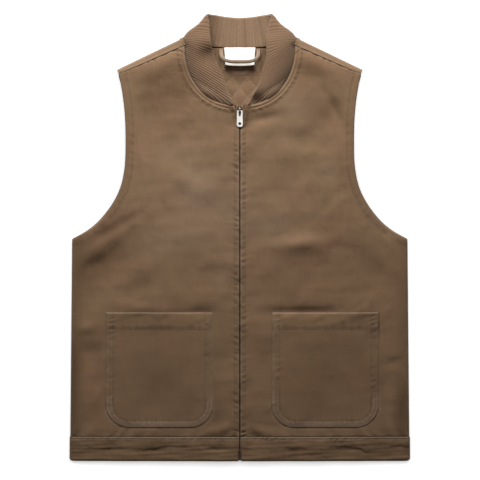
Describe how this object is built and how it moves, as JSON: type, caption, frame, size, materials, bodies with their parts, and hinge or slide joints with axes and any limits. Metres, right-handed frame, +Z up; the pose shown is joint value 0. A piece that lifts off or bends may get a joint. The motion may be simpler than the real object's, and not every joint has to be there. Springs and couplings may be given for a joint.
{
  "type": "canvas vest",
  "caption": "Zip-front sleeveless canvas vest lying flat on its back, with a rib-knit stand collar, patch pockets and a hem band.",
  "frame": {"origin": "middle of the footprint on the surface the vest lies on", "axes": "+X to the right of the picture, +Y from hem to collar, +Z up out of the front"},
  "size_m": [0.5626, 0.7377, 0.0394],
  "materials": {
    "canvas": "matt woven canvas",
    "rib_knit": "matt rib knit",
    "lining": "quilted lining",
    "label": "blank woven tape",
    "loop_tape": "narrow tape",
    "zip_tape": "woven tape",
    "zip_teeth": "moulded teeth",
    "metal": "satin nickel"
  },
  "bodies": {
    "vest": {"front_panel_left": "canvas", "front_panel_right": "canvas", "back_panel": "canvas", "hem_band": "canvas", "pocket_left": "canvas", "pocket_right": "canvas", "collar": "rib_knit", "back_lining": "lining", "neck_label": "label", "hanger_loop": "loop_tape", "zip_tape_left": "zip_tape", "zip_tape_right": "zip_tape", "zip_teeth": "zip_teeth", "zip_slider": "metal", "zip_stop": "metal"},
    "pull": {"zip_pull": "metal"}
  },
  "joints": [
    {"name": "pull_swing", "type": "hinge", "parent": "vest", "child": "pull", "pos_m": [0, 0.2074, 0.03008], "axis": [-1, 0, 0], "range_deg": [0, 165]}
  ]
}
